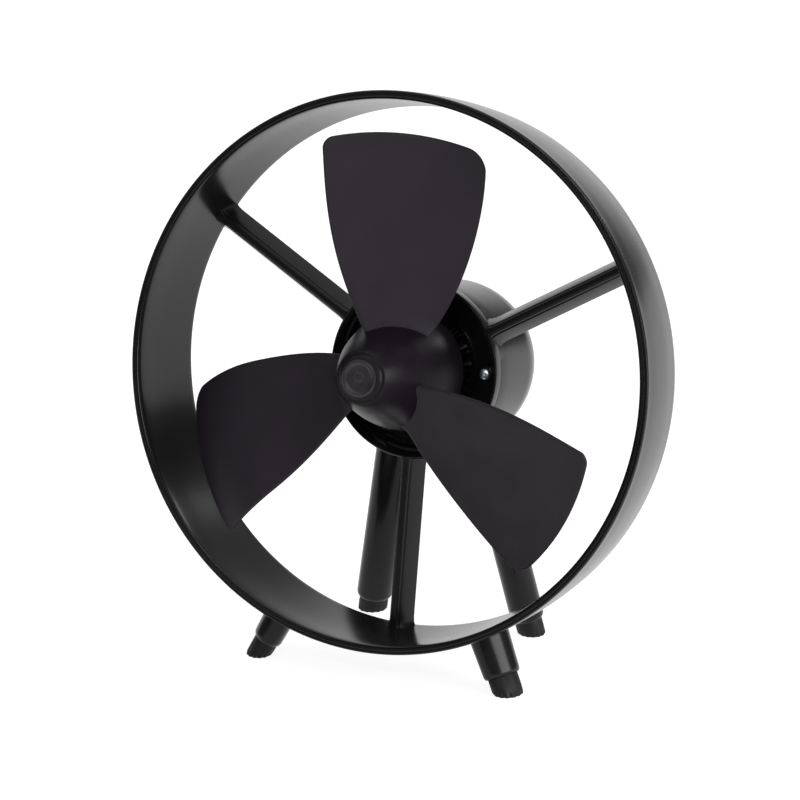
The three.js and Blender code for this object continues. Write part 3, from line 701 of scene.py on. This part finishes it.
def blade(index, degrees):
    """A curved sheet with a rounded edge, which thickens where it runs into the hub."""
    columns, rows = 56, 44
    root = 20
    rim = 1.2
    fillet_height, fillet_reach = 1.3, 5
    edge_share = 0.16
    chord_radius = 90
    share = CURL_SHARES[index - 1]

    def surface(across, radius):
        return curled_point(across, radius, share)

    front, back = [], []
    bm = bmesh.new()
    for i in range(columns + 1):
        even = i / columns
        across = 0.5 - 0.5 * math.cos(math.pi * even)
        tip = blade_tip(across)
        lines = ([], [])
        for j in range(rows + 1):
            radius = root + (tip - root) * math.sin(math.pi / 2 * j / rows)
            point = surface(across, radius)
            hub = radius_at(HUB_LINE, point.y)
            fillet = fillet_height * max(0.0, 1 - (radius - hub) / fillet_reach) ** 2
            chord = BLADE_CHORD * radius / chord_radius
            to_edge = min(min(across, 1 - across) * chord, tip - radius)
            roundness = math.sqrt(max(0.0, 1 - max(0.0, 1 - to_edge / rim) ** 2))
            share_left = edge_share + (1 - edge_share) * roundness
            half = (BLADE_THICKNESS / 2 + fillet) * share_left
            normal = surface_normal(surface, across, radius)
            lines[0].append(bm.verts.new(point + normal * half))
            lines[1].append(bm.verts.new(point - normal * half))
        front.append(lines[0])
        back.append(lines[1])
    for i in range(columns):
        for j in range(rows):
            bm.faces.new((front[i][j], front[i + 1][j], front[i + 1][j + 1], front[i][j + 1]))
            bm.faces.new((back[i][j], back[i][j + 1], back[i + 1][j + 1], back[i + 1][j]))
    border = [(i, 0) for i in range(columns)] + [(columns, j) for j in range(rows)]
    border += [(i, rows) for i in range(columns, 0, -1)] + [(0, j) for j in range(rows, 0, -1)]
    for (a, b), (c, d) in zip(border, border[1:] + border[:1]):
        bm.faces.new((front[a][b], back[a][b], back[c][d], front[c][d]))
    bmesh.ops.recalc_face_normals(bm, faces=bm.faces)
    inside = [(0, -60), (HUB_LINE[0][0] - 1, -60)]
    inside += [(r - 0.8, y) for r, y in smooth_line(HUB_LINE, 4)] + [(30.2, 60), (0, 60)]
    trimmed = combined(bm, turned(inside, 96))
    finished(f"blade_{index}_soft", around(trimmed, degrees), "rotor", "blade_plastic",
             [f"blade_{index}"], sharp=BLADE_SHARP)


# ---- legs and feet ----
FRONT_LEG = {"kind": "front", "foot": (69.4, -0.5, 0), "lean": (-0.4855, 0.205, 1),
             "narrow": 7.6, "wide": 10.6, "length": 48, "top": 1.16}
REAR_LEG = {"kind": "rear", "foot": (45.6, 85.6, 0), "lean": (-0.205, -0.153, 1),
            "narrow": 8.8, "wide": 9.6, "length": 122, "top": 1.0}
SCALLOPS = 13


def leg_axes(leg, side):
    """Where the leg stands, which way it leans, and the two directions of its oval section."""
    foot = Vector(leg["foot"])
    lean = Vector(leg["lean"])
    foot.x *= side
    lean.x *= side
    lean.normalize()
    across = Vector((0, 0, 1)).cross(lean).normalized()
    return foot, lean, lean.cross(across), across


def oval(leg, side, size, angle):
    _, _, outward, across = leg_axes(leg, side)
    narrow = outward * leg["narrow"] * math.cos(angle)
    wide = across * leg["wide"] * math.sin(angle)
    return (narrow + wide) * size


def moulded_leg(name, side, leg):
    """The tapered oval tube with its rounded shoulder, cut off inside the part it is joined to."""
    foot, lean, _, _ = leg_axes(leg, side)
    shoulder = FOOT_LENGTH + 0.12  # inside the foot, whose top is at FOOT_LENGTH + 0.2
    peg = [(0.5, 4.5), (0.5, shoulder)]
    curve = [(0.83, shoulder), (0.91, shoulder + 0.2), (0.96, shoulder + 0.9),
             (0.99, shoulder + 1.7), (1, shoulder + 2.8)]
    straight = 12.1
    tube = [(1 + (leg["top"] - 1) * k / 6, straight + (leg["length"] - straight) * k / 6)
            for k in range(1, 7)]
    turns = [math.tau * k / 72 for k in range(72)]
    rings = [[foot + lean * height + oval(leg, side, size, a) for a in turns]
             for size, height in [*peg, *curve, *tube]]
    solid = moved(loft(rings), STAND_TO_HEAD)
    if leg["kind"] == "front":
        wall = [(139.9, -1), *SHROUD_OUTER, (135.4, 52)]
        limit = [(0, -1), *[(radius - 1.6, y) for radius, y in wall], (0, 52)]
    else:
        limit = [(0, 43.6), (42, 43.6), (42, 60), *dome_arc(DOME_RADIUS - 1, 1, 16), (0, 126.9)]
    solid = combined(solid, turned(limit, 144))
    finished(f"{leg['kind']}_leg_{name}_moulded", solid, "frame", "gloss_shell",
             [f"{leg['kind']}_leg_{name}"])


def moulded_foot(name, side, leg):
    """A rubber cap with a socket for the peg, and a flat sole with a scalloped edge."""
    foot, lean, _, _ = leg_axes(leg, side)
    turns = [math.tau * k / 156 for k in range(156)]

    def ring(size, height, scallop):
        points = []
        for a in turns:
            wave = abs(math.sin(SCALLOPS * a / 2)) ** 0.8
            shift = oval(leg, side, size * (1 - scallop * (1 - wave)), a)
            points.append(foot + shift + lean * height)
        return points

    def level(points, height):
        """Slides each point along the leg's lean to one height over the floor."""
        return [p + lean * ((height - p.z) / lean.z) for p in points]

    sole = [(0.3, 0.0, 0.0), (0.66, 0.0, 0.05), (0.74, 0.0, 0.1), (0.79, 0.45, 0.12),
            (0.81, 1.4, 0.09), (0.81, 2.6, 0.03), (0.81, 3.6, 0.0)]
    rings = [level(ring(size, 0, scallop), height) for size, height, scallop in sole]
    cap = [(0.81, FOOT_LENGTH - 0.5), (0.805, FOOT_LENGTH), (0.79, FOOT_LENGTH + 0.2),
           (0.6, FOOT_LENGTH + 0.2)]
    rings += [ring(size, height, 0) for size, height in cap]
    rings += [ring(0.56, FOOT_LENGTH - 0.4, 0), ring(0.56, 4, 0)]
    finished(f"{leg['kind']}_foot_{name}_rubber", loft(rings), "frame", "foot_rubber",
             [f"{leg['kind']}_foot_{name}"], matrix=STAND)


# ---- switch at the back ----
def speed_knob():
    """A dial with a finely ribbed edge and a grip bar across it."""
    dial = turned(rounded([(0, 124), (2.2, 124), (2.2, 131.6), (7.8, 131.6), (7.8, 129.8, 0.2),
                           (9, 129.8, 0.3), (9, 133.2, 0.6), (0, 133.6)]), 96)
    ridges = [radial_box(8.6, 9.2, 130.3, 132.8, 0.25, a, 0.1) for a in every(36)]
    grip = block((-2.3, 132.8, -8.2), (2.3, 139.5, 8.2), 0.8, 3)
    whole = merged(combined(dial, grip, "UNION"), *ridges)
    finished("speed_knob_moulded", whole, "knob", "gloss_shell", ["speed_knob"])


def switch_nut():
    """A thin hexagonal nut with chamfered corners."""
    bore, across = 4.8, 14
    blank = turned(rounded([(bore, 127.4, 0.3), (across / 2, 127.4), (8.2, 127.9), (8.2, 128.9),
                            (across / 2, 129.4), (bore, 129.4, 0.3)]), 96)
    corners = [math.radians(a) for a in every(6, 0)]
    reach = across / math.sqrt(3)
    prism = loft([[(reach * math.cos(a), y, reach * math.sin(a)) for a in corners]
                  for y in (127, 130)])
    finished("switch_nut_plated", combined(blank, prism, "INTERSECT"), "frame", "motor_steel",
             ["switch_nut"], sharp=NUT_SHARP)


# ---- studio ----
# The sky brightens with height, and round BACKDROP_WAY. A span is where a ramp starts and ends.
SKY_LOW, SKY_HIGH, SKY_SPAN = 0.06, 0.8, (0.1, 0.85)
BACKDROP_WAY = (-0.35, 0.93, 0.0)
BACKDROP_GLOW, BACKDROP_SPAN = 1.15, (0.84, 0.97)
FLOOR_HALF = 6
FLOOR_GLOW = 0.88
# Each light has a place in metres, a power in watts, and a width and height in metres.
SOFTBOXES = {
    "softbox_top": ((0.0, 0.2, 2.4), 10, (2.0, 2.0)),
    "softbox_back_right": ((0.72, 1.36, 0.84), 2, (0.26, 0.26)),
    "softbox_right": ((2.5, -0.3, 0.5), 90, (2.0, 1.8)),
    "softbox_front": ((0.15, -1.45, 1.0), 5, (0.7, 0.12)),
}


def surround():
    """A dome of light: pale overhead, a white backdrop behind the fan, dimmer round the rest."""
    world = bpy.data.worlds.new("surround")
    world.use_nodes = True
    nodes, links = world.node_tree.nodes, world.node_tree.links
    place = nodes.new("ShaderNodeTexCoord").outputs["Generated"]
    split = nodes.new("ShaderNodeSeparateXYZ")
    links.new(place, split.inputs["Vector"])
    overhead = map_range(nodes, links, split.outputs["Z"], SKY_SPAN, (SKY_LOW, SKY_HIGH),
                         smooth=True)
    facing = nodes.new("ShaderNodeVectorMath")
    facing.operation = "DOT_PRODUCT"
    facing.inputs[1].default_value = BACKDROP_WAY
    links.new(place, facing.inputs[0])
    backdrop = map_range(nodes, links, facing.outputs["Value"], BACKDROP_SPAN,
                         (0, BACKDROP_GLOW), smooth=True)
    total = nodes.new("ShaderNodeMath")
    total.operation = "ADD"
    links.new(overhead, total.inputs[0])
    links.new(backdrop, total.inputs[1])
    links.new(total.outputs[0], nodes["Background"].inputs["Strength"])
    nodes["Background"].inputs["Color"].default_value = (1, 1, 1, 1)
    bpy.context.scene.world = world


def studio():
    """A pale glowing table with soft lights above it, behind the fan, to its right and in front."""
    mesh = bpy.data.meshes.new("floor")
    corners = [(FLOOR_HALF * x, FLOOR_HALF * y, 0) for x, y in ((-1, -1), (1, -1), (1, 1), (-1, 1))]
    mesh.from_pydata(corners, [], [(0, 1, 2, 3)])
    floor = bpy.data.objects.new("floor", mesh)
    bpy.context.scene.collection.objects.link(floor)
    shader = Shader("floor_look", (0.3, 0.3, 0.3), 0.6)
    shader.surface.inputs["Specular IOR Level"].default_value = 0.0
    shader.surface.inputs["Emission Color"].default_value = (1, 1, 1, 1)
    shader.surface.inputs["Emission Strength"].default_value = FLOOR_GLOW
    shader.roughness(shader.spread(shader.noise(3), 0.55, 0.7))
    mesh.materials.append(shader.material)
    bpy.context.scene.view_settings.view_transform = "Standard"
    surround()
    for name, (place, power, (width, height)) in SOFTBOXES.items():
        data = bpy.data.lights.new(name, "AREA")
        data.shape = "RECTANGLE"
        data.size = width
        data.size_y = height
        data.energy = power
        light = bpy.data.objects.new(name, data)
        light.location = place
        light.rotation_euler = (HEAD_CENTRE - Vector(place)).to_track_quat("-Z", "Y").to_euler()
        bpy.context.scene.collection.objects.link(light)


def camera():
    """A long lens, a little above the fan and to its right."""
    azimuth, elevation = math.radians(24.71), math.radians(16.57)
    distance, lens = 1.96, 178.65
    aim_right, aim_up = 0.00884, -0.01269
    back = Vector((math.sin(azimuth) * math.cos(elevation),
                   -math.cos(azimuth) * math.cos(elevation), math.sin(elevation)))
    right = Vector((math.cos(azimuth), math.sin(azimuth), 0))
    up = back.cross(right)
    data = bpy.data.cameras.new("camera")
    data.lens = lens
    data.sensor_width = 36
    obj = bpy.data.objects.new("camera", data)
    obj.location = HEAD_CENTRE + back * distance + right * aim_right + up * aim_up
    obj.rotation_euler = (-back).to_track_quat("-Z", "Y").to_euler()
    bpy.context.scene.collection.objects.link(obj)
    bpy.context.scene.camera = obj


camera()
studio()
paint_frame()
shroud()
for spoke_side, spoke_angle in SPOKE_ANGLES.items():
    spoke(spoke_side, spoke_angle)
housing_front()
rear_dome()
cable_gland()
for screw_index, screw_angle in enumerate(SCREW_ANGLES, 1):
    housing_screw(screw_index, screw_angle)
hub_cone()
nose_cap()
for blade_index, blade_angle in enumerate(every(3), 1):
    blade(blade_index, blade_angle)
for side_name, side_sign in (("left", -1), ("right", 1)):
    for one_leg in (FRONT_LEG, REAR_LEG):
        moulded_leg(side_name, side_sign, one_leg)
        moulded_foot(side_name, side_sign, one_leg)
speed_knob()
switch_nut()
